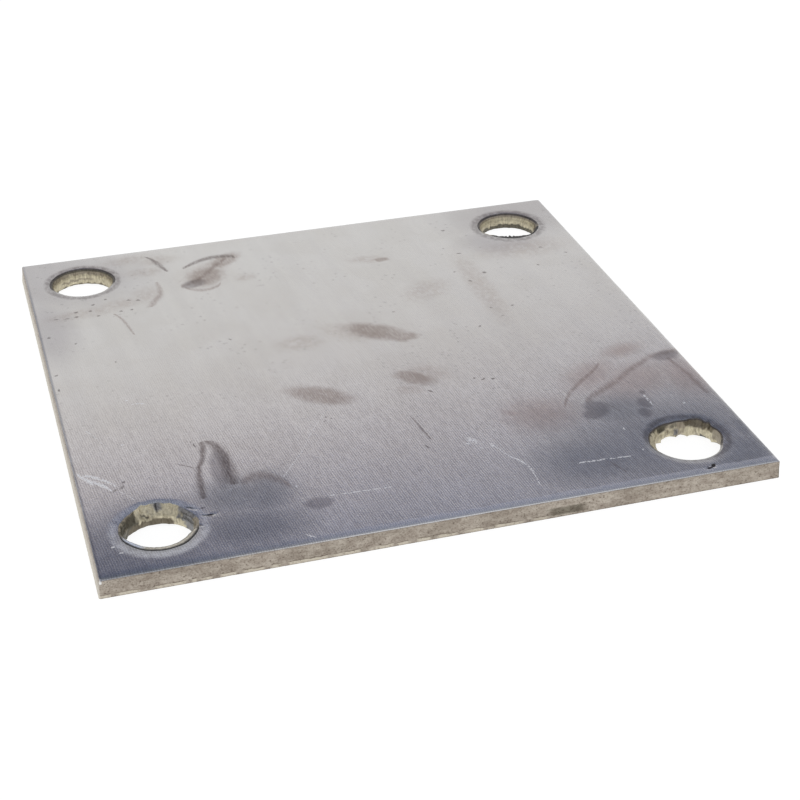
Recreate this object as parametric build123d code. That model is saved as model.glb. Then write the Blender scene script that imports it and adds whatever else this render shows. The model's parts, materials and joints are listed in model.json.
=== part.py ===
from build123d import *
import os

# Flat square cover plate: a blank sheared from rolled aluminium and punched through at each corner.
# It is one solid, in millimetres. The origin is the centre of the bottom face and +Z leaves the face
# that the blade and the punch struck. Every cut wall has the bands that shearing leaves, from the
# struck face down: a rollover, a straight burnished band and a fracture that runs out to the die side.
# The punch also draws a shallow dish in the skin round each hole.

# Driving dimensions
plate_length = 127.0  # along X, over the feet of the sheared walls
plate_width = 127.0  # along Y, over the feet of the sheared walls
plate_thickness = 3.6
corner_blunting = 0.35  # radius on the upright edges at the four corners
hole_diameter = 12.7  # the burnished bore, as wide as the punch
hole_inset = 12.7  # from the foot of a sheared wall to the axis of the hole beside it
edge_rollover = 0.3  # radius that the blade drags down along a sheared edge
hole_rollover = 0.8  # radius that the punch drags down round a hole
burnished_share = 0.4  # of the wall under its rollover; the rest of it is fracture
edge_flare = 0.12  # how far a sheared wall's foot stands out past its burnished band
die_clearance = 0.1  # how far the die side of a hole is wider than its bore, on the radius
dish_width = 2.5  # of the skin that is drawn down round a rim, on the radius
dish_depth = 0.08  # how far the rim lies below the flat of the struck face


def fracture_height(band_top):
    """Height over the bottom face at which a cut wall turns from fracture to burnished band."""
    return band_top * (1 - burnished_share)


def sheared_blank():
    """The plate before punching: walls that flare to their feet, and a rolled-over struck edge."""
    band_foot = fracture_height(plate_thickness - edge_rollover)
    with BuildPart() as blank:
        with BuildSketch(Plane.XY):
            RectangleRounded(plate_length, plate_width, corner_blunting)
        with BuildSketch(Plane.XY.offset(band_foot)):
            RectangleRounded(plate_length - 2 * edge_flare, plate_width - 2 * edge_flare, corner_blunting)
        loft()
        extrude(blank.faces().sort_by(Axis.Z)[-1], amount=plate_thickness - band_foot)
        fillet(blank.faces().sort_by(Axis.Z)[-1].edges(), edge_rollover)
    return blank.part


def punched_hole():
    """What the punch takes away, about the Z axis: fracture, bore, rolled-in rim and the dish round it."""
    bore = hole_diameter / 2
    rim_radius = bore + hole_rollover
    rim_height = plate_thickness - dish_depth
    band_top = rim_height - hole_rollover
    dish_edge = (rim_radius + dish_width, plate_thickness)
    with BuildPart() as slug:
        with BuildSketch(Plane.XZ):
            with BuildLine():
                Polyline(
                    dish_edge,
                    (0, plate_thickness),
                    (0, 0),
                    (bore + die_clearance, 0),
                    (bore, fracture_height(band_top)),
                    (bore, band_top),
                )
                rim = CenterArc((rim_radius, band_top), hole_rollover, 180, -90)
                TangentArc(dish_edge, rim @ 1, tangent=(-1, 0))
            make_face()
        revolve(axis=Axis.Z)
    return slug.part


def cover_plate():
    """The blank with a punched hole at each corner."""
    corners = GridLocations(plate_length - 2 * hole_inset, plate_width - 2 * hole_inset, 2, 2)
    slug = punched_hole()
    plate = sheared_blank() - [corner * slug for corner in corners]
    plate.label = "cover_plate"
    return plate


os.makedirs("parts", exist_ok=True)
export_step(cover_plate(), "parts/cover_plate.step")
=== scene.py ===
import functools
import json
import math
import bpy
from mathutils import Matrix, Vector, noise
from mathutils.geometry import delaunay_2d_cdt


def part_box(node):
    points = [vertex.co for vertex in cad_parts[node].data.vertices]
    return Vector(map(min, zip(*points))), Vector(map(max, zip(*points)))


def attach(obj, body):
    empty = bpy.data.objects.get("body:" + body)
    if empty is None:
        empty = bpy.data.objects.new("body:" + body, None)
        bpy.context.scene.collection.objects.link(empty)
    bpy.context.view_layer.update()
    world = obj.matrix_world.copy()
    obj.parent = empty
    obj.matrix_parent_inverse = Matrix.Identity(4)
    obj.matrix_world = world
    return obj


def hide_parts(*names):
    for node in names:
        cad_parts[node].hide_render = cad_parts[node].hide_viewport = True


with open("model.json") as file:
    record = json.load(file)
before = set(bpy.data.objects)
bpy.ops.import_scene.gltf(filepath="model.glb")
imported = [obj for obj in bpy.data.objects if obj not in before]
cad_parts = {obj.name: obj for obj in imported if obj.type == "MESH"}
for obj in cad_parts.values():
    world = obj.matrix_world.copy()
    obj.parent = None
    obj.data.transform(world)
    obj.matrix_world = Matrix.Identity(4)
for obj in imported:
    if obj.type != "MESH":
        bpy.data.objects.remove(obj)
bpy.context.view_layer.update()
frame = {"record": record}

# The cover plate as it left the shear and the punch: rough sheared walls, dished and torn holes, a rolled
# skin with its roll lines, and the smears and scratches of handling. Blender's lengths are in metres. The
# marks are given in millimetres from the middle of the plate, with X to the right and Y to the far side.
MM = 0.001

low, high = (Vector(corner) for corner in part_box("cover_plate"))
TOP = high.z
BASE = low.z
THICKNESS = TOP - BASE
mounts = {mount["name"]: mount for mount in frame["record"]["mounts"]}
holes = mounts["bolt_holes"]["dims"]
BORE = holes["hole_r_mm"] * MM
HALF_X = holes["spacing_x_mm"] * MM / 2
HALF_Y = holes["spacing_y_mm"] * MM / 2
HOLES = {"near_left": (-HALF_X, -HALF_Y), "near_right": (HALF_X, -HALF_Y),
         "far_right": (HALF_X, HALF_Y), "far_left": (-HALF_X, HALF_Y)}

# Sheared walls, as the solid has them
EDGE_FLARE = 0.12 * MM
EDGE_ROLLOVER = 0.3 * MM
BURNISHED_SHARE = 0.4
CORNER_RADIUS = 0.35 * MM
BAND_TOP = THICKNESS - EDGE_ROLLOVER
BAND_FOOT = BAND_TOP * (1 - BURNISHED_SHARE)

# Punched holes, as the solid has them
HOLE_ROLLOVER = 0.8 * MM
DIE_CLEARANCE = 0.1 * MM
DISH_DEPTH = 0.08 * MM
DISH_EDGE = BORE + HOLE_ROLLOVER + 2.5 * MM

# How finely the mesh is cut: steps along the walls and round the holes, then up each band of a wall
WALL_STEP = 0.36 * MM
CORNER_STEPS = 3
ROUND_STEPS = 300
LATTICE = 3 * MM
DENT_STEP = 0.15 * MM
FLARE_STEPS = 6
BAND_STEPS = 4
ROLL_STEPS = 4
SKIN_INSETS = [inset * MM for inset in (0.4, 0.8, 1.25, 1.8, 2.3)]
FRACTURE_STEPS = 9
BORE_STEPS = 8
RIM_STEPS = 6
DISH_STEPS = 11
SHEARED_RINGS = FLARE_STEPS + 1 + BAND_STEPS + ROLL_STEPS // 2  # to halfway over the rollover
PUNCHED_RINGS = FRACTURE_STEPS + 1 + BORE_STEPS + RIM_STEPS

# Unevenness that the solid leaves out. Each is (depth, width of its bumps, which field of noise it follows).
EDGE_WAVE = (0.025 * MM, 14 * MM, 1)
EDGE_GRAIN = (0.03 * MM, 0.7 * MM, 2)
EDGE_CHIPS = (0.08 * MM, 2.4 * MM, 5)
FLARE_SHARE = (0.3, 2 * MM, 10)
ROLLOVER_SHARE = (0.15, 3 * MM, 11)
TORN_SHARE = (0.7, 1.1 * MM, 12)
BORE_FOOT = (0.45 * MM, 2 * MM, 13)
FRACTURE_GRAIN = (0.1 * MM, 0.7 * MM, 14)
SCALLOP_DRIFT = (110, 3 * MM, 15)  # in degrees
BORE_FLUTES = (0.03 * MM, 0.45 * MM, 16)
BORE_TEARS = (0.22 * MM, 0.6 * MM, 17)
RIM_TEARS = (0.16 * MM, 0.5 * MM, 18)
BURR_WIDTH, BURR_FIELD = 0.8 * MM, 19
TINT_TURN = (9, 0.9 * MM, 21)  # in degrees
TINT_RISE = (0.13, 1 * MM, 22)
TINT_FRINGE = (0.06, 0.35 * MM, 23)
TINT_SPECKLE = (0.25, 0.4 * MM, 24)

NEAR_SIDE = (195, 345, 30)  # of a hole's rim, as from, to and fade, in degrees from +X

# The left wall leans in at its top, and the near left corner is knocked off
LEFT_LEAN = 0.26 * MM
KNOCKED_REACH = 0.9 * MM
KNOCKED = Vector((0.25, 0.25, -0.45)) * MM

# The blade draws the skin down along each side: (how far in it reaches, how deep it is at the side)
DRAWN = {"front": (2.3 * MM, 0.065 * MM), "right": (1.6 * MM, 0.06 * MM),
         "back": (1.2 * MM, 0.04 * MM), "left": (1.4 * MM, 0.05 * MM)}

# Nicks and cracks in the skin, in millimetres: depth, half width, and the line that each follows
DENTS = [
    (0.10, 0.36, ((50.4, -61.5), (50.8, -61.1), (51.0, -60.6))),
    (0.04, 0.40, ((49.1, -62.0), (50.0, -61.6))),
    (0.03, 0.17, ((-42.8, -49.0), (-41.9, -49.45), (-40.5, -49.4))),
    (0.06, 0.22, ((-44.0, -51.2), (-43.5, -52.3))),
    (0.04, 0.25, ((-44.8, -46.0), (-43.5, -46.9))),
]


def uneven(kind, x, y, z=0):
    """Unevenness of one kind at a place: smooth noise of about -1 to 1, times its depth."""
    depth, width, field = kind
    return depth * noise.noise(Vector((x / width + field * 7.3, y / width - field * 3.1, z / width + field)))


def direction(degrees):
    """A step of 1 at this angle from +X."""
    return Vector((math.cos(math.radians(degrees)), math.sin(math.radians(degrees))))


def smooth(low_edge, high_edge, value):
    """0 below low_edge, 1 above high_edge and an S curve between them."""
    share = min(max((value - low_edge) / (high_edge - low_edge), 0), 1)
    return share * share * (3 - 2 * share)


def window(degrees, start, end, fade):
    """1 between two angles, fading to 0 outside them."""
    middle, half = (start + end) / 2, (end - start) / 2
    away = abs((degrees - middle + 180) % 360 - 180)
    return 1 - smooth(half - fade / 2, half + fade / 2, away)


def line_distance(x, y, line):
    """How far a point lies from a line of several legs, all in millimetres."""
    point = Vector((x, y))
    nearest = math.inf
    for start, end in zip(line, line[1:]):
        start, leg = Vector(start), Vector(end) - Vector(start)
        share = min(max((point - start).dot(leg) / leg.length_squared, 0), 1)
        nearest = min(nearest, (point - start - leg * share).length)
    return nearest


def sunk(x, y):
    """How far the struck face lies below its flat here, from the blade's draw and from dents."""
    depth = 0
    for side, away in (("front", y - low.y), ("right", high.x - x),
                       ("back", high.y - y), ("left", x - low.x)):
        reach, most = DRAWN[side]
        depth += most * max(1 - away / reach, 0) ** 2
    for most, half_width, line in DENTS:
        away = line_distance(x / MM, y / MM, line)
        if away < half_width:
            depth += most * MM * (1 - away / half_width)
    return depth


def outline_points(inset):
    """Points and outward normals round the plate's outline, anticlockwise, this far in from its foot."""
    points = []
    reach = Vector((high.x - CORNER_RADIUS, high.y - CORNER_RADIUS))
    shrunk = reach - Vector((inset, inset))
    for turn, (x_sign, y_sign) in enumerate(((1, -1), (1, 1), (-1, 1), (-1, -1))):
        centre = Vector((x_sign * shrunk.x, y_sign * shrunk.y))
        for step in range(CORNER_STEPS + 1):
            normal = direction(90 * (turn - 1 + step / CORNER_STEPS))
            points.append((centre + normal * CORNER_RADIUS, normal))
        along = Vector((-normal.y, normal.x))
        side = 1 if turn % 2 == 0 else 0
        steps = round(2 * reach[side] / WALL_STEP)
        corner = points[-1][0]
        points += [(corner + along * 2 * shrunk[side] * step / steps, normal) for step in range(1, steps)]
    return points


def edge_section():
    """(inset from the foot, height) up a sheared wall, over its rollover and in over the drawn skin."""
    section = [(EDGE_FLARE * step / FLARE_STEPS, BAND_FOOT * step / FLARE_STEPS)
               for step in range(FLARE_STEPS + 1)]
    section += [(EDGE_FLARE, BAND_FOOT + (BAND_TOP - BAND_FOOT) * step / BAND_STEPS)
                for step in range(1, BAND_STEPS + 1)]
    for step in range(1, ROLL_STEPS + 1):
        angle = math.radians(90 * step / ROLL_STEPS)
        section.append((EDGE_FLARE + EDGE_ROLLOVER * (1 - math.cos(angle)),
                        BAND_TOP + EDGE_ROLLOVER * math.sin(angle)))
    return section + [(EDGE_FLARE + EDGE_ROLLOVER + inset, THICKNESS) for inset in SKIN_INSETS]


def sheared_wall(vertices):
    """The rings of the outer wall, from its foot to the flat of the struck face."""
    rings = []
    corner = Vector((low.x, low.y, TOP))
    for inset, height in edge_section():
        ring = []
        fade = 1 - smooth(0.3 * MM, 1.5 * MM, inset - EDGE_FLARE)
        for point, normal in outline_points(inset):
            worn = EDGE_WAVE[0] + uneven(EDGE_WAVE, point.x, point.y)
            worn += EDGE_GRAIN[0] + uneven(EDGE_GRAIN, point.x, point.y, height)
            worn += max(uneven(EDGE_CHIPS, point.x, point.y, height) - 0.2 * EDGE_CHIPS[0], 0)
            place = point - normal * worn * fade
            place.x += LEFT_LEAN * max(-normal.x, 0) * fade * height / THICKNESS
            drop = sunk(place.x, place.y) * smooth(BAND_FOOT, BAND_TOP, height)
            spot = Vector((place.x, place.y, BASE + height - drop))
            spot += KNOCKED * max(1 - (spot - corner).length / KNOCKED_REACH, 0)
            ring.append(len(vertices))
            vertices.append(tuple(spot))
        rings.append(ring)
    return rings


def hole_section(name, degrees):
    """(radius, height) up a punched wall at this angle, over its rim and out over the dish."""
    x, y = direction(degrees) * BORE
    look = HOLE_LOOKS[name]
    torn = max((window(degrees, *tear) for tear in look["torn"]), default=0)
    near = window(degrees, *NEAR_SIDE)
    rollover = MM * (look["rollover"] * (1 - near) + look["near_rollover"] * near)
    rollover *= 1 + uneven(ROLLOVER_SHARE, x, y)
    flare = look["flare"] * MM * (1 + uneven(FLARE_SHARE, x, y)) * (1 - near)
    lean, towards = look["lean"]
    flare += lean * MM * max(math.cos(math.radians(degrees - towards)), -0.4)
    flare += torn * MM * (0.8 + uneven(TORN_SHARE, x, y))
    drop = min(rollover, HOLE_ROLLOVER)
    band_top = THICKNESS - DISH_DEPTH - drop
    band_foot = THICKNESS * look["burnish"] + uneven(BORE_FOOT, x, y)
    scallop = look["scallops"] * MM * abs(math.sin(math.radians(degrees * 6 + uneven(SCALLOP_DRIFT, x, y))))
    section = []
    for step in range(FRACTURE_STEPS + 1):
        height = band_foot * step / FRACTURE_STEPS
        below = 1 - step / FRACTURE_STEPS
        rough = uneven(FRACTURE_GRAIN, x, y, height) + 0.7 * FRACTURE_GRAIN[0]
        section.append((BORE + DIE_CLEARANCE * below + rough + scallop * below ** 2, height))
    for step in range(1, BORE_STEPS + 1):
        share = step / BORE_STEPS
        height = band_foot + (band_top - band_foot) * share
        rough = uneven(BORE_FLUTES, x, y, height * 0.1) + torn * uneven(BORE_TEARS, x, y, height)
        section.append((BORE + rough + flare * share ** 1.3, height))
    lip = BORE + flare + rollover
    for step in range(1, RIM_STEPS + 1):
        angle = math.radians(90 * step / RIM_STEPS)
        tear = torn * uneven(RIM_TEARS, x, y, band_top + step * 0.2 * MM)
        section.append((lip - rollover * math.cos(angle) + tear, band_top + drop * math.sin(angle)))
    for step in range(1, DISH_STEPS + 1):
        share = step / DISH_STEPS
        section.append((lip + (DISH_EDGE - lip) * share, THICKNESS - DISH_DEPTH * (1 - share) ** 2))
    for start, end, foot, head, reach, ragged in look["burrs"]:
        burr = window(degrees, start, end, (end - start) * 0.9)
        burr *= (0.8 + uneven((ragged, BURR_WIDTH, BURR_FIELD), x, y)) * reach * MM
        middle, half = (head + foot) / 2 * MM, (head - foot) / 2 * MM
        section = [(radius - burr * max(1 - ((height - middle) / half) ** 2, 0), height)
                   for radius, height in section]
    return section


def punched_wall(vertices, tints, name):
    """The rings of one hole, from the foot of its wall to the outer edge of its dish."""
    centre = Vector(HOLES[name])
    rings = []
    for step in range(ROUND_STEPS):
        degrees = 360 * step / ROUND_STEPS
        spoke = direction(degrees)
        for level, (radius, height) in enumerate(hole_section(name, degrees)):
            if step == 0:
                rings.append([])
            place = centre + spoke * radius
            drop = sunk(place.x, place.y) * smooth(THICKNESS * 0.6, THICKNESS * 0.9, height)
            rings[level].append(len(vertices))
            tints[len(vertices)] = wall_tint(name, degrees, height / THICKNESS)
            vertices.append((place.x, place.y, BASE + height - drop))
    return rings


def wall_tint(name, degrees, share):
    """A punched wall's colour and gloss at this angle and share of the thickness, from its patches."""
    x, y = direction(degrees) * BORE
    turned = degrees + uneven(TINT_TURN, x, y, share * 3 * MM)
    risen = share + uneven(TINT_RISE, x, y, share * 2 * MM) + uneven(TINT_FRINGE, x, y)
    tint = Vector(TAN)
    for start, end, foot, head, colour in HOLE_LOOKS[name]["patches"]:
        angle, level, fade, blur = (turned, risen, 5, 0.04) if foot < PLAIN else (degrees, share, 20, 0.01)
        cover = window(angle, start, end, fade) * smooth(foot - blur, foot + blur, level)
        cover *= 1 - smooth(head - blur, head + blur, level)
        tint = tint.lerp(Vector(colour), cover)
    speckle = 1 + uneven(TINT_SPECKLE, x, y, share * 1.5 * MM)
    return (*(channel * speckle for channel in tint[:3]), tint[3])


def ring_radius(ring, vertices, centre, point):
    """How far out a ring round centre runs in the direction of point. Its first vertex is at angle 0."""
    angle = math.atan2(point.y - centre.y, point.x - centre.x) % math.tau
    place = angle / math.tau * len(ring)
    before, after = (Vector(vertices[ring[int(place + step) % len(ring)]][:2]) for step in (0, 1))
    return (before.lerp(after, place % 1) - centre).length


def dent_points():
    """Extra points on and round every dent, so that the mesh can follow it."""
    points = []
    for _, half_width, line in DENTS:
        xs, ys = zip(*line)
        reach = half_width * MM + DENT_STEP
        margin = 2 * int(reach / DENT_STEP)
        columns, rows = (int((max(values) - min(values)) * MM / DENT_STEP) + margin for values in (xs, ys))
        corner = Vector((min(xs), min(ys))) * MM - Vector((reach, reach))
        grid = [corner + Vector((column, row)) * DENT_STEP
                for column in range(columns + 1) for row in range(rows + 1)]
        points += [point for point in grid
                   if line_distance(point.x / MM, point.y / MM, line) * MM < reach]
    return points


def cap(vertices, faces, outer, inners, height, extra, clear, up):
    """Fills between an outer ring and the hole rings with a lattice of triangles, facing up or down."""
    flat, edges, owner = [], [], []
    for ring in [outer] + list(inners.values()):
        first = len(flat)
        flat += [Vector(vertices[index][:2]) for index in ring]
        owner += ring
        edges += [(first + step, first + (step + 1) % len(ring)) for step in range(len(ring))]
    holes_at = {name: Vector(centre) for name, centre in HOLES.items()}
    spaces = round((high.x - low.x) / LATTICE)
    lattice = [Vector((low.x + (high.x - low.x) * column / spaces,
                       low.y + (high.y - low.y) * row / spaces))
               for column in range(1, spaces) for row in range(1, spaces)]
    inner_x = vertices[outer[len(outer) // 8]][0] - 0.1 * MM
    for group, gap in ((lattice, clear + 0.6 * LATTICE), (extra, clear + 0.12 * MM)):
        for point in group:
            inside = max(abs(point.x), abs(point.y)) < inner_x
            if inside and min((point - centre).length for centre in holes_at.values()) > gap:
                vertices.append((point.x, point.y, height(point.x, point.y)))
                flat.append(point)
                owner.append(len(vertices) - 1)
    places, _, triangles, sources, _, _ = delaunay_2d_cdt(flat, edges, [], 1, 1e-7)
    for triangle in triangles:
        middle = sum((places[i] for i in triangle), Vector((0, 0))) / 3
        name = min(holes_at, key=lambda key: (holes_at[key] - middle).length)
        if (middle - holes_at[name]).length < ring_radius(inners[name], vertices, holes_at[name], middle):
            continue
        ids = [owner[sources[i][0]] for i in triangle]
        faces.append(ids if up else ids[::-1])


def join_rings(faces, rings, outward):
    """Quads between each ring and the next, facing away from the ring's middle or towards it."""
    for lower, upper in zip(rings, rings[1:]):
        for step in range(len(lower)):
            after = (step + 1) % len(lower)
            quad = (lower[step], lower[after], upper[after], upper[step])
            faces.append(quad if outward else quad[::-1])


def build_plate():
    """The dressed plate as one closed mesh."""
    vertices, faces, slots, tints = [], [], [], {}
    outer = sheared_wall(vertices)
    bores = {name: punched_wall(vertices, tints, name) for name in HOLES}
    for slot, rings, outward in (
            [(SHEARED, outer[:SHEARED_RINGS], True), (SKIN, outer[SHEARED_RINGS - 1:], True)]
            + [(PUNCHED, rings[:PUNCHED_RINGS], False) for rings in bores.values()]
            + [(SKIN, rings[PUNCHED_RINGS - 1:], False) for rings in bores.values()]):
        join_rings(faces, rings, outward)
        slots += [slot] * (len(faces) - len(slots))
    cap(vertices, faces, outer[-1], {name: rings[-1] for name, rings in bores.items()},
        lambda x, y: TOP - sunk(x, y), dent_points(), DISH_EDGE, True)
    slots += [SKIN] * (len(faces) - len(slots))
    cap(vertices, faces, outer[0], {name: rings[0] for name, rings in bores.items()},
        lambda x, y: BASE, [], BORE + MM, False)
    slots += [UNDERSIDE] * (len(faces) - len(slots))
    mesh = bpy.data.meshes.new("rolled_plate")
    mesh.from_pydata(vertices, [], faces)
    mesh.validate()
    for material in (rolled_skin("rolled_skin", True), rolled_skin("underside", False),
                     sheared_metal(), punched_metal()):
        mesh.materials.append(material)
    mesh.polygons.foreach_set("material_index", slots)
    layer = mesh.attributes.new("tint", "FLOAT_COLOR", "POINT")
    colours = [channel for index in range(len(vertices)) for channel in tints.get(index, TAN)]
    layer.data.foreach_set("color", colours)
    across = mesh.uv_layers.new(name="across")
    for loop in mesh.loops:
        across.data[loop.index].uv = vertices[loop.vertex_index][:2]
    mesh.shade_smooth()
    mesh.set_sharp_from_angle(angle=math.radians(50))
    plate = bpy.data.objects.new("rolled_plate", mesh)
    bpy.context.scene.collection.objects.link(plate)
    return plate


class Nodes:
    """A node tree, written as sums."""

    def __init__(self, tree):
        self.tree = tree

    def node(self, kind, *values, **settings):
        """A node with its settings, and its first inputs linked or set. None leaves an input alone."""
        node = self.tree.nodes.new(kind)
        for name, value in settings.items():
            setattr(node, name, value)
        for socket, value in zip(node.inputs, values):
            self.feed(socket, value)
        return node

    def feed(self, socket, value):
        """Links a socket to another, or sets it."""
        if isinstance(value, bpy.types.NodeSocket):
            self.tree.links.new(value, socket)
        elif value is not None:
            socket.default_value = value

    def math(self, operation, *values, clamp=False):
        return self.node("ShaderNodeMath", *values, operation=operation, use_clamp=clamp).outputs[0]

    def vector(self, operation, *values):
        return self.node("ShaderNodeVectorMath", *values, operation=operation).outputs[0]

    def most(self, values):
        """The largest of several values."""
        return functools.reduce(lambda first, second: self.math("MAXIMUM", first, second), values)


class Shader(Nodes):
    """A metal. Its coordinates are in millimetres."""

    def __init__(self, name):
        self.material = bpy.data.materials.new(name)
        self.material.use_nodes = True
        super().__init__(self.material.node_tree)
        self.surface = self.tree.nodes["Principled BSDF"]
        self.surface.inputs["Metallic"].default_value = 1
        place = self.node("ShaderNodeTexCoord").outputs["Object"]
        self.mm = self.vector("MULTIPLY", place, (1 / MM, 1 / MM, 1 / MM))
        self.x, self.y, self.z = self.node("ShaderNodeSeparateXYZ", self.mm).outputs

    def set(self, name, value):
        """Sets or links an input of the surface."""
        self.feed(self.surface.inputs[name], value)

    def emboss(self, height, depth):
        """Bumps the surface: a height of 1 stands this many metres up."""
        self.set("Normal", self.node("ShaderNodeBump", 1, depth, None, height).outputs[0])

    def noise(self, sizes, detail=2, at=None, turned=0, colour=False):
        """Noise whose bumps are as wide as sizes, in millimetres, turned by some degrees about Z."""
        place = self.node("ShaderNodeMapping", at or self.mm, (0, 0, 0), (0, 0, math.radians(turned)),
                          sizes, vector_type="TEXTURE").outputs[0]
        made = self.node("ShaderNodeTexNoise", place, None, 1, detail)
        return made.outputs[1 if colour else 0]

    def spread(self, value, start, end, low_value=0, high_value=1):
        """An S curve from low_value at start to high_value at end."""
        return self.node("ShaderNodeMapRange", value, start, end, low_value, high_value,
                         interpolation_type="SMOOTHSTEP").outputs[0]

    def blend(self, factor, first, second, mode="MIX"):
        """The first colour, giving way to the second."""
        node = self.node("ShaderNodeMix", factor, data_type="RGBA", blend_type=mode)
        for socket, value in zip(node.inputs[6:8], (first, second)):
            self.feed(socket, (*value, 1) if isinstance(value, tuple) else value)
        return node.outputs[2]

    def stain(self, colour, cover, tint):
        """The colour, darkened by a tint where it is covered."""
        return self.blend(cover, colour, tint, "MULTIPLY")

    def warped(self, size, amount):
        """The coordinates, shifted about by noise."""
        shift = self.vector("SUBTRACT", self.noise((size, size, size), 3, colour=True), (0.5, 0.5, 0.5))
        return self.vector("ADD", self.mm, self.vector("MULTIPLY", shift, (amount, amount, 0)))

    def blot(self, at, x, y, half_length, half_width, degrees=0):
        """1 in the middle of an oval, fading to 0 at its border."""
        place = self.node("ShaderNodeMapping", at, (x, y, 0), (0, 0, math.radians(degrees)),
                          (half_length, half_width, 1000), vector_type="TEXTURE").outputs[0]
        return self.node("ShaderNodeTexGradient", place, gradient_type="SPHERICAL").outputs[1]

    def ring(self, at, x, y, radius, half_width):
        """1 on a circle, fading to 0 half_width away from it."""
        flat = self.vector("MULTIPLY", self.vector("SUBTRACT", at, (x, y, 0)), (1, 1, 0))
        from_middle = self.node("ShaderNodeVectorMath", flat, operation="LENGTH").outputs[1]
        away = self.math("SUBTRACT", from_middle, radius)
        return self.math("SUBTRACT", 1, self.math("DIVIDE", self.math("ABSOLUTE", away), half_width),
                         clamp=True)

    def curve(self, value, heights):
        """A smooth curve through evenly spaced heights of 0 to 1, for a value of 0 to 1."""
        node = self.node("ShaderNodeFloatCurve", 1, value)
        line = node.mapping.curves[0]
        for step, height in enumerate(heights):
            share = step / (len(heights) - 1)
            if step < 2:
                line.points[step].location = (share, height)
            else:
                line.points.new(share, height)
        node.mapping.update()
        return node.outputs[0]

    def stroke(self, at, along, start, end, middles, widths):
        """1 along the middle of a stroke that runs along X or Y, through evenly spaced middles."""
        split = self.node("ShaderNodeSeparateXYZ", at)
        run, across = split.outputs[:2] if along == "x" else (split.outputs[1], split.outputs[0])
        share = self.node("ShaderNodeMapRange", run, start, end, 0, 1).outputs[0]
        least, span = min(middles), max(max(middles) - min(middles), THIN)
        middle = self.curve(share, [(value - least) / span for value in middles])
        middle = self.math("MULTIPLY_ADD", middle, span, least)
        widest = max(widths)
        width = self.curve(share, [value / widest for value in widths])
        width = self.math("MULTIPLY_ADD", width, widest, THIN)
        away = self.math("ABSOLUTE", self.math("SUBTRACT", across, middle))
        stroke = self.math("SUBTRACT", 1, self.math("DIVIDE", away, width), clamp=True)
        half = (end - start) / 2
        from_middle = self.math("ABSOLUTE", self.math("SUBTRACT", run, start + half))
        return self.math("MULTIPLY", stroke, self.spread(from_middle, half + 0.2, half - 0.3))


def rolled_skin(name, struck_face):
    """Mill-finish aluminium: roll lines along Y with painted reflection and glints, and on the struck face
    finger marks, smears and scratches with painted shade and reflections.
    """
    kit = Shader(name)
    turned = kit.node("ShaderNodeMapping", kit.mm, None, (0, 0, math.radians(-ROLL_TURN))).outputs[0]
    ridges = kit.node("ShaderNodeTexWave", turned, 0.698, 2.4, 2, 1.3, wave_type="BANDS",
                      bands_direction="X").outputs[1]
    lines = kit.math("MULTIPLY_ADD", kit.noise((0.36, 2.6, 9), 2, turned=ROLL_TURN), 0.75,
                     kit.math("MULTIPLY_ADD", ridges, 0.3, 0.03))
    broad = kit.noise((2.6, 60, 9), 2, turned=ROLL_TURN)
    patches = kit.noise((11, 11, 11), 2)
    grain = kit.noise((0.2, 0.4, 0.3), 2, turned=ROLL_TURN)
    # Painted reflection: the roll lines and their grain are painted with more contrast towards the near side,
    # where the skin mirrors the dark over the tent
    near_reflection = kit.spread(kit.y, 12, -34, 0.1, 1) if struck_face else 0.25
    lined = kit.blend(kit.spread(lines, 0.32, 0.72), (0.485, 0.475, 0.475), (0.64, 0.635, 0.635))
    colour = kit.blend(near_reflection, (0.575, 0.57, 0.56), lined)
    colour = kit.stain(colour, kit.math("MULTIPLY", kit.spread(grain, 0.5, 0.28), near_reflection), (0.78, 0.77, 0.77))
    # Painted glints: fine bright specks, stronger towards the near side
    painted_glints = kit.spread(kit.noise((0.24, 0.7, 0.4), 2, turned=ROLL_TURN), 0.60, 0.72)
    painted_glints = kit.math("MULTIPLY", kit.math("MULTIPLY", painted_glints, near_reflection), 0.6)
    colour = kit.blend(painted_glints, colour, (0.82, 0.83, 0.86))
    colour = kit.stain(colour, kit.spread(broad, 0.3, 0.7), (0.97, 0.97, 0.975))
    colour = kit.stain(colour, kit.spread(patches, 0.35, 0.65), (0.965, 0.96, 0.95))
    rough = kit.spread(grain, 0.3, 0.7, 0.18, 0.24)
    if struck_face:
        colour, rough = handling_and_painted_light(kit, colour, rough)
    kit.set("Base Color", colour)
    kit.set("Roughness", rough)
    kit.set("Anisotropic", 0.9)
    kit.set("Tangent", kit.node("ShaderNodeTangent", direction_type="UV_MAP", uv_map="across").outputs[0])
    kit.emboss(kit.math("MULTIPLY_ADD", lines, 1, kit.math("MULTIPLY", grain, 0.5)), SKIN_RELIEF)
    return kit.material


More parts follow.
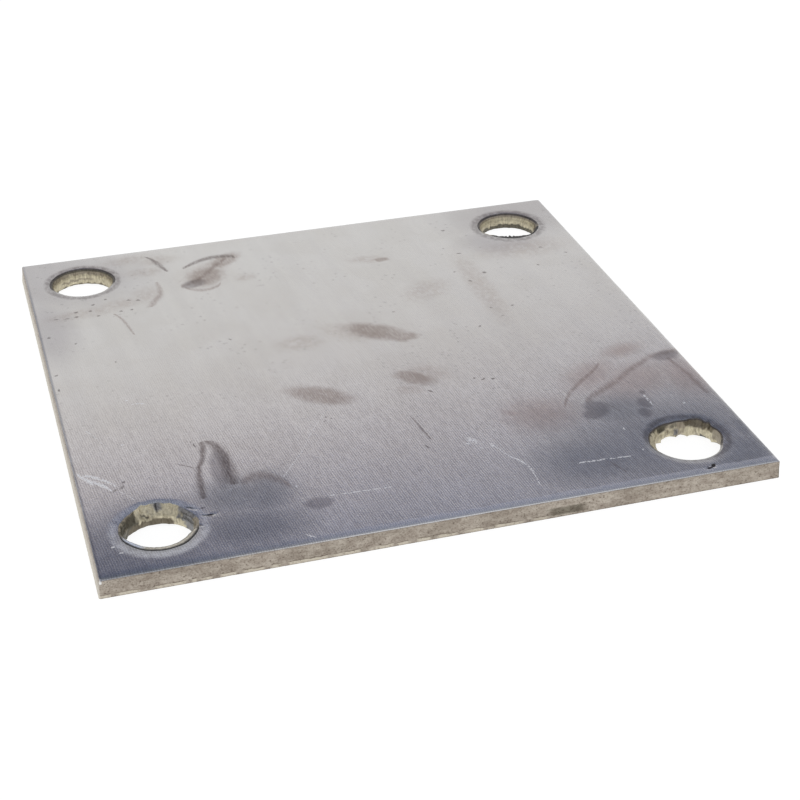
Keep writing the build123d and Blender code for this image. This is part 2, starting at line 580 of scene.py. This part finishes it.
def handling_and_painted_light(kit, colour, rough):
    """Lays finger marks, smears, grime, specks and scratches over the rolled skin, with painted shade and
    painted reflections.
    """
    ragged, wispy, fine = kit.warped(1.6, 1.6), kit.warped(0.6, 0.55), kit.warped(0.5, 0.3)
    streaks = kit.spread(kit.noise((0.35, 1.6, 3), 3, turned=4), 0.3, 0.6, 0.25, 1)
    blotchy = kit.spread(kit.noise((0.9, 1.3, 1), 3), 0.3, 0.6, 0.35, 1)
    streaky = {share: kit.math("MULTIPLY_ADD", streaks, share, 1 - share) for share in (0.5, 0.65, 0.7)}

    # How each kind is drawn and where, how far in from its border it is whole, its cover and its tint
    for draw, at, whole, cover, tint, marks in (
            (kit.blot, ragged, 0.6, streaky[0.5], (0.64, 0.585, 0.56), FINGERS),
            (kit.blot, ragged, 0.8, blotchy, (0.86, 0.83, 0.815), FAINT),
            # Dulled stretches, partly painted shade
            (kit.blot, ragged, 0.75, 1, (0.80, 0.79, 0.81), DULL_AND_SHADE),
            (kit.blot, ragged, 0.9, 1, (0.78, 0.715, 0.70), BROWNED),
            (kit.stroke, wispy, 0.95, streaky[0.65], (0.40, 0.365, 0.36), SMEARS),
            (kit.stroke, wispy, 1, streaky[0.7], (0.68, 0.63, 0.615), WIPES),
            (kit.blot, wispy, 0.5, 1, (0.64, 0.63, 0.65), SHADES),
            # Broad grime, partly painted shade
            (kit.blot, ragged, 0.85, 1, (0.52, 0.545, 0.59), GRIME_AND_SHADE)):
        mark = kit.spread(kit.most(draw(at, *mark) for mark in marks), 0, whole)
        colour = kit.stain(colour, kit.math("MULTIPLY", mark, cover), tint)

    # A lighter, bluish strip where the blade drew the near side down, a painted reflection of the sky, and
    # the dark left rim
    strip = kit.math("MULTIPLY_ADD", kit.noise((3, 3, 3), 3), 1, kit.y)
    strip = kit.math("MULTIPLY", kit.spread(strip, -60.4, -61.0), kit.spread(kit.x, -34, -8))
    colour = kit.blend(kit.math("MULTIPLY", strip, 0.5), colour, (0.72, 0.725, 0.745))
    # The dark left rim is painted shade on its rollover, stronger towards the near side
    rim = kit.math("MULTIPLY", kit.spread(kit.x, -62.35, -62.8), kit.spread(kit.y, 62, 40, 0.4, 1))
    colour = kit.stain(colour, kit.math("MULTIPLY", rim, 0.75), (0.38, 0.40, 0.46))

    soot = kit.spread(kit.most(kit.ring(wispy, *mark) for mark in SOOT_RINGS), 0, 0.8)
    soot = kit.math("MULTIPLY", kit.math("MULTIPLY", soot, blotchy), 0.8)
    colour = kit.stain(colour, soot, (0.46, 0.44, 0.44))
    specks = kit.spread(kit.most(kit.blot(ragged, *mark) for mark in SPECKS), 0, 0.7)
    colour = kit.stain(colour, kit.math("MULTIPLY", specks, blotchy), (0.38, 0.36, 0.36))
    # The nicks and cracks are painted nearly black: painted shade in their hollows
    nick_shade = kit.spread(kit.most(kit.blot(fine, *mark) for mark in NICK_SHADE), 0.05, 0.45)
    colour = kit.stain(colour, nick_shade, (0.10, 0.09, 0.09))
    dust = kit.node("ShaderNodeTexVoronoi", kit.mm, None, 0.62, feature="F1").outputs[0]
    dust = kit.math("MULTIPLY", kit.spread(dust, 0.3, 0.1), kit.spread(kit.noise((7, 7, 7), 1), 0.5, 0.62))
    colour = kit.stain(colour, kit.math("MULTIPLY", dust, 0.35), (0.6, 0.6, 0.6))

    # The pale bluish halo round the near left hole is a painted reflection in its dish; it is a little
    # rougher too
    halo_reflection = kit.math("MULTIPLY", kit.spread(kit.ring(wispy, *HALO_REFLECTION), 0, 0.9), blotchy)
    colour = kit.blend(kit.math("MULTIPLY", halo_reflection, 0.38), colour, (0.74, 0.78, 0.84))
    rough = kit.math("MULTIPLY_ADD", halo_reflection, 0.06, rough)
    bright = kit.most([kit.stroke(fine, *mark) for mark in SCRATCHES]
                      + [kit.blot(wispy, *mark) for mark in GLINTS])
    gaps = kit.spread(kit.noise((0.5, 0.5, 0.5), 2), 0.4, 0.55)
    bright = kit.math("MULTIPLY", kit.spread(bright, 0.1, 0.8), gaps)
    colour = kit.blend(bright, colour, (0.92, 0.93, 0.95))
    rough = kit.math("MULTIPLY_ADD", bright, 0.35, rough)
    return colour, rough


def sheared_metal():
    """Sheared aluminium: tan and pitted, with a paler strip along the foot."""
    kit = Shader("sheared_metal")
    mottle = kit.noise((1.6, 1.6, 0.8), 4)
    pits = kit.noise((0.34, 0.34, 0.24), 2)
    stains = kit.noise((9, 9, 5), 2)
    colour = kit.blend(kit.spread(mottle, 0.3, 0.7), (0.37, 0.32, 0.27), (0.51, 0.46, 0.395))
    colour = kit.stain(colour, kit.spread(pits, 0.55, 0.3), (0.80, 0.78, 0.77))
    colour = kit.stain(colour, kit.spread(stains, 0.35, 0.65), (0.84, 0.83, 0.82))

    # The strip along the foot and the dark line over it, both worn away towards the right
    above = kit.math("SUBTRACT", kit.z, kit.math("MULTIPLY_ADD", kit.noise((2.2, 2.2, 9), 3), 0.7, 0.28))
    worn = kit.spread(kit.noise((3.0, 3.0, 9), 3), 0.6, 0.48)
    strip = kit.math("MULTIPLY", kit.math("MULTIPLY", kit.spread(above, 0.06, -0.06), worn),
                     kit.spread(kit.x, 24, 10))
    colour = kit.blend(kit.math("MULTIPLY", strip, 0.75), colour, (0.66, 0.61, 0.51))
    line = kit.spread(kit.math("ABSOLUTE", kit.math("SUBTRACT", above, 0.08)), 0.13, 0.04)
    line = kit.math("MULTIPLY", line, kit.spread(kit.x, 28, 14))
    line = kit.math("MULTIPLY", line, kit.math("MULTIPLY", worn, 0.7))
    colour = kit.stain(colour, line, (0.45, 0.41, 0.38))
    colour = kit.stain(colour, kit.spread(kit.z, 0.16, 0.04), (0.5, 0.46, 0.42))
    colour = kit.stain(colour, kit.spread(pits, 0.34, 0.27), (0.45, 0.42, 0.40))

    # The left wall is paler, with a dark line under its rim, painted shade on the rollover, and a bright chip
    # at the near corner
    left = kit.spread(kit.x, -63.1, -63.3)
    colour = kit.blend(kit.math("MULTIPLY", left, 0.75), colour, (0.70, 0.66, 0.57))
    rollover_shade = kit.math("MULTIPLY", kit.spread(kit.x, -62.5, -62.7), kit.spread(kit.z, 2.95, 3.2))
    colour = kit.blend(kit.math("MULTIPLY", rollover_shade, left), colour, (0.16, 0.17, 0.22))
    chip = kit.math("MULTIPLY", kit.spread(kit.blot(kit.mm, *CHIP), 0.1, 0.5), kit.spread(kit.z, 2.7, 3.0))
    colour = kit.blend(chip, colour, (0.9, 0.9, 0.88))

    stain = kit.spread(kit.blot(kit.warped(0.8, 0.8), *WALL_STAIN), 0, 0.5)
    levels = kit.math("MULTIPLY", kit.spread(kit.z, 0.3, 0.6), kit.spread(kit.z, 2.2, 1.7))
    colour = kit.stain(colour, kit.math("MULTIPLY", stain, levels), (0.50, 0.50, 0.47))
    colour = kit.stain(colour, kit.spread(kit.x, 63.0, 63.2), (0.5, 0.47, 0.38))
    kit.set("Base Color", colour)
    kit.set("Roughness", kit.spread(pits, 0.3, 0.7, 0.62, 0.42))
    kit.emboss(kit.math("MULTIPLY_ADD", mottle, 1.5, pits), SHEARED_RELIEF)
    return kit.material


def punched_metal():
    """A punched wall: the colours of its patches, with the punch's upright score lines."""
    kit = Shader("punched_metal")
    tint = kit.node("ShaderNodeAttribute", attribute_name="tint").outputs
    scores = kit.noise((0.3, 0.3, 2.2), 3)
    grain = kit.noise((0.16, 0.16, 0.12), 2)
    scored = kit.stain(tint["Color"], 1, (0.72, 0.70, 0.68))
    colour = kit.blend(kit.spread(scores, 0.3, 0.6), scored, tint["Color"])
    colour = kit.stain(colour, kit.spread(grain, 0.45, 0.3), (0.75, 0.73, 0.71))
    polish = kit.math("MULTIPLY", tint["Alpha"], 0.36)
    kit.set("Base Color", colour)
    kit.set("Roughness", kit.math("SUBTRACT", kit.spread(grain, 0.3, 0.7, 0.5, 0.62), polish))
    kit.emboss(kit.math("MULTIPLY", kit.math("MULTIPLY_ADD", scores, 1.5, grain),
                        kit.math("SUBTRACT", 1.05, tint["Alpha"])), PUNCHED_RELIEF)
    return kit.material


def tent():
    """The world: a white tent wall with a straight top edge, and a dim sky over it."""
    world = bpy.data.worlds.new("tent")
    bpy.context.scene.world = world
    world.use_nodes = True
    kit = Nodes(world.node_tree)
    around = kit.node("ShaderNodeTexCoord").outputs["Generated"]
    x, y, z = kit.node("ShaderNodeSeparateXYZ", around).outputs
    level = kit.math("MAXIMUM", kit.math("ABSOLUTE", x), kit.math("ABSOLUTE", y))
    rise = kit.math("DIVIDE", z, kit.math("MAXIMUM", level, 0.01))
    ramp = kit.node("ShaderNodeValToRGB", kit.math("MULTIPLY", kit.math("ARCTANGENT", rise), 2 / math.pi))
    stops = ramp.color_ramp.elements
    for step, (place, colour) in enumerate(SKY):
        stop = stops[step] if step < 2 else stops.new(place)
        stop.position = place
        stop.color = (*colour, 1)
    kit.feed(kit.tree.nodes["Background"].inputs[0], ramp.outputs[0])


def white_floor():
    """A floor that is white to the camera, to glass and in polished metal, and that keeps its shadow."""
    mesh = bpy.data.meshes.new("floor")
    corners = [(x * FLOOR_REACH, y * FLOOR_REACH, BASE) for x, y in ((-1, -1), (1, -1), (1, 1), (-1, 1))]
    mesh.from_pydata(corners, [], [(0, 1, 2, 3)])
    floor = bpy.data.objects.new("floor", mesh)
    bpy.context.scene.collection.objects.link(floor)
    material = bpy.data.materials.new("white_floor")
    material.use_nodes = True
    kit = Nodes(material.node_tree)
    kit.tree.nodes.clear()
    lit = kit.node("ShaderNodeBsdfDiffuse", FLOOR_COLOUR).outputs[0]
    shaded = kit.node("ShaderNodeBsdfDiffuse", FLOOR_SHADING).outputs[0]
    glow = kit.node("ShaderNodeEmission", None, FLOOR_GLOW).outputs[0]
    seen = kit.node("ShaderNodeAddShader", shaded, glow).outputs[0]
    rays = kit.node("ShaderNodeLightPath").outputs
    sight = kit.most([rays["Is Camera Ray"], rays["Is Glossy Ray"], rays["Is Transmission Ray"]])
    kit.node("ShaderNodeOutputMaterial", kit.node("ShaderNodeMixShader", sight, lit, seen).outputs[0])
    mesh.materials.append(material)


def camera():
    """The photograph's viewpoint."""
    lens = bpy.data.cameras.new("camera")
    lens.sensor_width = SENSOR
    lens.lens = LENS
    lens.shift_x = SHIFT
    lens.clip_start = 0.01
    view = bpy.data.objects.new("camera", lens)
    back = Vector((math.sin(AZIMUTH) * math.cos(ELEVATION), -math.cos(AZIMUTH) * math.cos(ELEVATION),
                   math.sin(ELEVATION)))
    right = Vector((0, 0, 1)).cross(back).normalized()
    up = back.cross(right)
    side = right * math.cos(ROLL) + up * math.sin(ROLL)
    head = up * math.cos(ROLL) - right * math.sin(ROLL)
    place = Matrix((side, head, back)).transposed().to_4x4()
    place.translation = EYE
    view.matrix_world = place
    bpy.context.scene.collection.objects.link(view)
    bpy.context.scene.camera = view


SKIN, UNDERSIDE, SHEARED, PUNCHED = range(4)  # the plate's materials, in their order

# The viewpoint: the lens in millimetres, the turns in radians and the place of the eye in metres
SENSOR, LENS, SHIFT = 36, 76.19, 0.0031
AZIMUTH, ELEVATION, ROLL = (math.radians(degrees) for degrees in (-16.347, 30.321, -0.525))
EYE = (-0.07948, -0.29793, 0.17261)

# The floor: how far it reaches, the grey that lights the plate, and the grey and the glow that are seen
FLOOR_REACH = 3
FLOOR_COLOUR = (0.8, 0.8, 0.8, 1)
FLOOR_SHADING, FLOOR_GLOW = (0.25, 0.25, 0.25, 1), 0.87

# How far the finest texture stands up, in metres, and the turn of the roll lines, in degrees
SKIN_RELIEF, SHEARED_RELIEF, PUNCHED_RELIEF = 0.00002, 0.00006, 0.00004
ROLL_TURN = 5
THIN = 0.001  # the least width of a stroke, in millimetres

# Colours on the punched walls: red, green, blue and gloss
CREAM, TAN, BROWN = (0.66, 0.61, 0.46, 0.1), (0.38, 0.34, 0.27, 0.2), (0.20, 0.175, 0.13, 0.2)
OLIVE, STEEL, DARK = (0.15, 0.14, 0.11, 0.3), (0.25, 0.25, 0.255, 0.5), (0.045, 0.044, 0.046, 0.2)
# The pale and the blue colour paint reflections on a hole's near rim
ROLLED, PALE, BLUE_REFLECTION = (0.46, 0.45, 0.44, 1), (0.60, 0.57, 0.50, 0.3), (0.62, 0.68, 0.82, 0.5)
SOOT = (0.11, 0.10, 0.095, 0.4)
PLAIN = 0.7  # a patch whose foot is as high as this has straight borders, and any other ragged ones

# Each hole, in millimetres and degrees from +X:
# - the radius that the rim is rolled in by, and that of its near side; how far the wall flares, and how
#   much further it does so towards one angle
# - torn stretches of the rim, as from, to and fade
# - where the burnished band starts, as a share of the thickness, and how deep the foot is scalloped
# - burrs, as from, to, foot, head, reach and raggedness
# - patches of colour on the wall, as from, to, foot, head and colour, with foot and head as shares of the
#   thickness. A later one covers an earlier one.
HOLE_LOOKS = {
    "near_left": {
        "rollover": 0.2, "near_rollover": 0.95, "flare": 0.75, "lean": (0.1, 90),
        "torn": [(60, 114, 26)], "burnish": 0.42, "scallops": 0.1,
        "burrs": [(185, 355, 2.5, 3.62, 1.7, 0.06)],
        "patches": [(114, 215, -1, 0.95, OLIVE), (48, 118, 0.36, 2, CREAM), (62, 142, -1, 0.38, BROWN),
                    (14, 50, 0.05, 2, STEEL), (36, 60, -1, 0.45, CREAM), (96, 106, 0.52, 0.60, DARK),
                    (78, 92, 0.69, 2, STEEL), (84, 89, 0.69, 2, DARK), (148, 152, 0.2, 0.6, TAN),
                    # On the near rim, the pale and the blue bands are painted reflections, and the two dark
                    # lines round them painted shade
                    (190, 345, PLAIN, 2, PALE), (190, 232, PLAIN, 2, BLUE_REFLECTION),
                    (180, 350, 0.962, 2, DARK), (180, 350, PLAIN, 0.885, DARK)],
    },
    "near_right": {
        "rollover": 0.25, "near_rollover": 0.45, "flare": 0.5, "lean": (1.35, 216),
        "torn": [(30, 70, 20)], "burnish": 0.55, "scallops": 0.75,
        "burrs": [(60, 150, -1.2, 1.6, 0.5, 0.4)],
        "patches": [(80, 220, 0.64, 2, OLIVE), (16, 84, 0.66, 2, BROWN), (95, 105, 0.5, 2, TAN),
                    (20, 190, -1, 0.62, CREAM), (132, 222, -1, 0.88, CREAM), (75, 92, -1, 2, TAN),
                    (84, 92, 0.1, 0.45, STEEL), (60, 70, -1, 0.69, CREAM), (38, 46, -1, 0.14, DARK),
                    (150, 158, 0.1, 0.3, BROWN),
                    (106, 109, -1, 0.69, TAN), (128, 131, -1, 0.69, TAN), (50, 53, -1, 0.69, TAN),
                    # The last patch here, a dark line on the near rim, is painted shade
                    (-40, 200, 0.92, 2, SOOT), (210, 320, PLAIN, 2, ROLLED), (190, 350, 0.86, 0.93, DARK)],
    },
    "far_right": {
        "rollover": 0.7, "near_rollover": 0.9, "flare": 0.3, "lean": (0, 0),
        "torn": [], "burnish": 0.5, "scallops": 0.1,
        "burrs": [(213, 252, 1.7, 3.6, 2.4, 0.5), (253, 292, 1.7, 3.5, 2.6, 0.5)],
        "patches": [(0, 200, 0.28, 2, CREAM), (0, 200, -1, 0.3, OLIVE), (-10, 190, 0.78, 2, TAN),
                    (-10, 190, 0.90, 2, SOOT), (215, 340, -1, 2, DARK)],
    },
    "far_left": {
        "rollover": 0.7, "near_rollover": 0.7, "flare": 0.3, "lean": (0, 0),
        "torn": [], "burnish": 0.5, "scallops": 0.15, "burrs": [],
        "patches": [(-10, 200, 0.05, 0.74, CREAM), (-10, 200, -1, 0.07, BROWN), (60, 130, 0.3, 0.42, TAN),
                    (-20, 200, 0.69, 2, TAN), (-20, 200, 0.86, 2, OLIVE), (-20, 200, 0.93, 2, SOOT),
                    (200, 340, PLAIN, 2, ROLLED)],
    },
}

# Marks on the struck face. An oval is (x, y, half length, half width, degrees), and of two that overlap
# the stronger shows. First the smears of fingers, from strong to faint.
FINGERS = [(-12.3, -14.3, 9.5, 4.2, -34), (-11.2, -16.2, 4, 2.6, -40), (7.6, -13.2, 6.0, 3.2, -44),
           (8.6, -14.0, 2.2, 1.8, -40), (6.0, 8.2, 9.4, 4.4, -36), (10.4, 4.6, 3.0, 1.8, 20),
           (10.6, 4.4, 4.4, 2.8, 0), (-24, 45.4, 7.0, 5.0, 60), (-18.2, 52.4, 6.4, 3.4, 40),
           (16.7, 42.0, 2.2, 1.4, 0)]
FAINT = [(2, 9.5, 11, 5.6, -25), (5.4, -17.4, 4, 2.4, -20), (11, -12, 7, 5, -30), (13.5, 43, 6.5, 2.8, -10),
         (22, 24, 9, 6.2, 30), (-39, 59.2, 8.5, 3.4, 8), (-36.5, 51.7, 6.5, 3.1, 0), (-15.5, 42.5, 4, 3, 0),
         (-11, 8.5, 7, 5, 0), (50, 38, 16, 7, 0), (-33, 57, 6, 4, 0), (34, 22, 4, 26, 0),
         (-24, 46, 9, 8, 40), (-52, 35.4, 13, 3.4, 6), (-44, 37.6, 9, 3.4, 10), (-38, 40, 6, 5, 60)]
# Dulled stretches of skin, browned ones, small dark blots and broad grime. The dulled stretches and the grime
# are partly painted shade, standing in for dark reflections.
DULL_AND_SHADE = [(-56, 52, 28, 20, 0), (-61, 30, 9, 22, 0), (54, 57, 24, 20, 0), (46, 44, 14, 10, 0),
        (60, 60, 16, 16, 0), (-62, 60, 18, 12, 0)]
BROWNED = [(52, -15, 7.5, 4.2, 20), (42, -23, 12, 7, 38), (50, -27, 16, 10, 25), (27, -34, 12, 10, 0),
           (60, -28, 8, 13, 0), (22, -32.4, 4.4, 2.6, -40)]
SHADES = [(38.2, -35.2, 3.0, 3.7, 20), (37.0, -37.2, 3.4, 2.4, 10), (48, -36.2, 1.8, 2.6, 10),
          (46.6, -39.6, 1.8, 2.3, 0), (60, -19.6, 4.0, 2.4, 12), (49.2, -32.2, 0.8, 1.0, 0),
          (-22.0, -51.4, 3.4, 2.4, 0), (-27, 42.6, 3.8, 2.4, 20), (-36.6, -34.5, 8.5, 2.6, 84)]
GRIME_AND_SHADE = [(47, -49, 36, 24, 8), (32, -52, 20, 14, 0), (58, -58, 16, 14, 0), (-54, -55, 25, 20, 0),
         (-59, -58, 14, 9, 0), (-58, -60, 18, 11, 0), (51, -44.2, 11, 5.2, -12), (62, -50, 3, 10, 0),
         (43, -38, 14, 11, 0), (-31, -46, 12, 9, 70), (-36, -45, 12, 10, 0), (-36, -55, 17, 11, 0)]
# Nicks and cracks darkened nearly to black, painted shade in their hollows, and specks of dirt
NICK_SHADE = [(50.8, -61.0, 0.85, 0.55, 60), (49.9, -61.6, 0.9, 0.3, 20), (-41.8, -49.3, 1.5, 0.26, -5),
       (-44.4, -46.0, 1.1, 0.3, -30)]
SPECKS = [(-13.2, -22.8, 0.45, 0.3, 50), (-13.8, -24.1, 0.5, 0.35, 30), (-12.3, -23.8, 0.35, 0.3, 0),
          (19.3, -17, 0.5, 0.4, 0), (20.8, -17.7, 0.7, 0.35, 20), (22.9, -18.1, 0.5, 0.35, 0),
          (-40.4, -24.1, 0.5, 0.3, 60), (-39.8, -25.5, 0.9, 0.25, 100), (-54.3, -34.3, 0.7, 0.45, 60),
          (-55.0, -35.9, 1.1, 0.4, 70), (-56.6, -36.7, 1.1, 0.4, 15), (49.6, -61.7, 0.7, 0.4, 20),
          (50.8, -61.0, 0.8, 0.55, 55), (-54.2, 36.3, 0.9, 0.5, 10), (-54.4, 34.2, 0.8, 0.45, 0),
          (-51, 36.3, 0.6, 0.5, 0), (-50.2, 39, 0.5, 0.5, 0), (-47, 40.7, 0.6, 0.5, 0),
          (-42.3, 39, 0.6, 0.5, 0), (-40.2, 38.2, 0.6, 0.6, 0), (-58.6, 34.4, 0.8, 0.4, 0),
          (-56.5, 33.8, 0.7, 0.4, 0), (-49.6, 33.4, 0.6, 0.5, 0), (-44.8, 34, 0.5, 0.5, 0),
          (-42.3, 34.2, 0.5, 0.5, 0), (-60.9, 26.3, 0.5, 0.5, 0), (-56.2, 22, 0.4, 0.4, 0),
          (-24.6, 14.1, 0.4, 0.4, 0), (-49, 11.7, 0.4, 0.4, 0), (-61.6, 9.2, 0.5, 0.4, 0),
          (-61.7, 3.2, 0.35, 1.1, 0), (35, 53, 0.6, 0.6, 0), (34.6, 39.8, 0.8, 0.6, 0),
          (31.9, 43.4, 0.5, 0.5, 0), (30.8, 30.7, 0.5, 0.5, 0), (36.9, 28.4, 0.7, 0.5, 0),
          (32.7, 25.2, 0.6, 0.5, 0), (32.9, 11.3, 0.6, 0.5, 0), (37.5, 11.4, 0.6, 0.5, 0),
          (34, 7.3, 0.6, 0.5, 0), (27.5, 4, 0.5, 0.5, 0), (11.9, 16, 0.5, 0.4, 0),
          (53.8, 36.9, 0.8, 0.7, 0), (58.5, 32.8, 0.6, 0.6, 0), (50, 28.6, 0.5, 0.5, 0),
          (9.1, -19.2, 1.1, 0.4, -60), (2.1, -38.8, 1.2, 0.4, -60), (-41.6, -49.4, 1.2, 0.3, 0),
          (-43.7, -51.8, 0.7, 0.3, -60), (-44.0, -46.5, 0.8, 0.35, -35), (-42.5, -46.8, 1.1, 0.3, -5)]
# A ring is (x, y, radius, half width): soot round three holes, and a pale halo round the fourth, a painted
# reflection of the sky in its dish
SOOT_RINGS = [(50.4, -50.6, 7.7, 1.1), (-50.8, 50.8, 7.8, 1.2), (50.8, 50.8, 8.0, 1.5)]
HALO_REFLECTION = (-50.8, -50.8, 8.2, 1.3)

# A stroke is (axis, start, end, middles, half widths), the last two evenly spaced from start to end.
# First dark smears, then lighter ones.
SMEARS = [
    ("y", -41, -24.4, (-35.2, -35.3, -35.3, -35.2, -35.3, -35.9, -37.6), (1.4, 2.0, 2.2, 2.1, 2.0, 1.8, 1.4)),
    ("y", -44, -24.6, (-41.5, -41.3, -41.0, -40.6, -39.4, -38.6, -38.2), (0.9, 1.1, 1.1, 1.0, 0.9, 1.1, 1.0)),
    ("x", -44.6, -41.3, (-30.7, -31.4, -32.3, -33.4), (0.05, 0.25, 0.3, 0.3)),
    ("y", -36.8, -27, (3.7, 3.3, 2.9, 2.4), (0.2, 0.35, 0.25, 0.1)),
    ("y", 50.5, 60, (-31.5, -32.4, -33.1, -33.9, -35.4), (0.4, 0.9, 1.1, 0.8, 0.3)),
    ("x", -28, -15.4, (51.0, 53.2, 54.6, 54.9, 53.4), (0.8, 1.3, 1.5, 1.5, 1.2)),
    ("x", 40.2, 42.4, (-33.4, -35.6, -38.6), (0.2, 0.3, 0.3)),
]
WIPES = [
    ("y", 22.3, 33.4, (-43.6, -44.2, -44.9, -46.4), (0.3, 0.5, 0.6, 0.4)),
    ("x", -34.0, -25.4, (-40.6, -39.6, -39.6, -41.3, -44.6), (1.6, 2.4, 2.8, 2.6, 2.0)),
    ("x", 32.4, 45.6, (-32.9, -28.6, -25.9, -23.6, -21.4, -18.6), (1.0, 1.2, 1.1, 1.0, 0.9, 0.7)),
    ("x", 37.0, 63.5, (-32.5, -29.9, -28.1, -25.9, -23.2, -21.2, -19.2, -18.6, -18.1),
     (1.0, 1.8, 1.9, 1.5, 1.6, 1.5, 1.5, 1.8, 1.4)),
    ("y", -36.4, -20.6, (61.5, 61.2, 61.0, 60.4, 59.9), (0.5, 1.0, 0.95, 0.8, 0.7)),
    ("y", 34, 46, (-38.3, -36.6, -35.1, -34.8, -34.9), (1.3, 1.6, 1.1, 1.0, 0.6)),
    ("x", -29.6, -21, (42.2, 39.6, 38.8, 39.3, 41.9), (0.9, 1.3, 1.2, 1.1, 0.7)),
    ("x", -30, -17.4, (42, 43.6, 46.4, 50.4, 53.4), (1.4, 1.5, 1.6, 1.6, 1.4)),
    ("y", -58.4, -54, (34.6, 33.8, 33.0), (0.2, 0.4, 0.2)),
]
# Bright scratches, and bright chips as ovals
SCRATCHES = [
    ("x", -26.2, -12.4, (-41.2, -37.4, -33.4, -28.4, -24.0, -20.2), (0.2, 0.2, 0.1, 0.12, 0.16, 0.12)),
    ("x", -62.4, -56.8, (-28.8, -32.2, -33.8, -36.8), (0.8, 1.3, 1.1, 0.6)),
    ("x", -61.2, -56.0, (-29.8, -31.8, -35.2), (0.5, 0.8, 0.5)),
    ("x", -58.8, -55.6, (-14, -17.2, -22.4), (0.3, 0.25, 0.1)),
    ("x", -55.8, -53, (-37, -39, -42), (0.12, 0.2, 0.1)),
    ("x", -48.8, -46, (-6.6, -6.7, -7.3), (0.15, 0.3, 0.3)),
    ("x", -19.6, -8, (-49.7, -50.0, -50.3), (0.2, 0.25, 0.2)),
    ("x", -27, -25, (-60, -60.9, -61.8), (0.15, 0.3, 0.1)),
    ("y", -57.8, -41.4, (17.9, 18.1, 18.2, 17.6, 16.0, 14.9, 14.2), (0.15, 0.2, 0.3, 0.35, 0.3, 0.15, 0.3)),
    ("x", 26.4, 37.6, (-52.8, -53.1, -53.5), (0.25, 0.35, 0.2)),
    ("y", -37.7, -33.2, (49.2, 49.1, 49.0), (0.2, 0.35, 0.2)),
]
GLINTS = [(-52.8, -21.2, 0.6, 0.4, 0), (-49.4, -4.9, 0.5, 0.4, 0), (-26.3, -20, 0.25, 0.7, 0),
          (-59.4, -54.2, 0.6, 0.35, 0), (-58.2, -56.3, 0.6, 0.3, 0), (11.2, -39.6, 2.2, 1.1, -60),
          (9.8, -40.4, 0.8, 0.5, 0), (14.1, -42.2, 0.5, 1.0, 0), (40.2, -44, 0.3, 0.7, 0),
          (55.4, -38.3, 0.5, 0.7, -20), (40.6, -52, 0.35, 0.5, 0), (-63.2, -63.2, 0.9, 0.9, 0),
          (11.9, -42.4, 0.6, 0.4, 0), (-61.6, -29.9, 0.7, 0.4, 0), (-24.6, -45, 0.3, 0.6, 0)]

# Ovals seen from above on the walls: the chip at the near left corner and the stain in the near wall
CHIP = (-63.2, -63.4, 0.7, 0.7)
WALL_STAIN = (21, -63.5, 4.5, 9)

# The tent, by how high a direction points: 0 is level and 1 is straight up
SKY = [(0.0, (1, 1, 1)), (0.322, (1, 0.99, 0.985)), (0.352, (0.93, 0.87, 0.845)), (0.38, (0.49, 0.435, 0.50)),
       (0.395, (0.19, 0.235, 0.39)), (0.425, (0.22, 0.255, 0.365)), (0.46, (0.36, 0.38, 0.43)),
       (0.62, (0.48, 0.49, 0.53)), (0.8, (1, 1, 1))]

bpy.context.scene.view_settings.view_transform = "Standard"
tent()
white_floor()
camera()
plate = build_plate()
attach(plate, "root")
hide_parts("cover_plate")
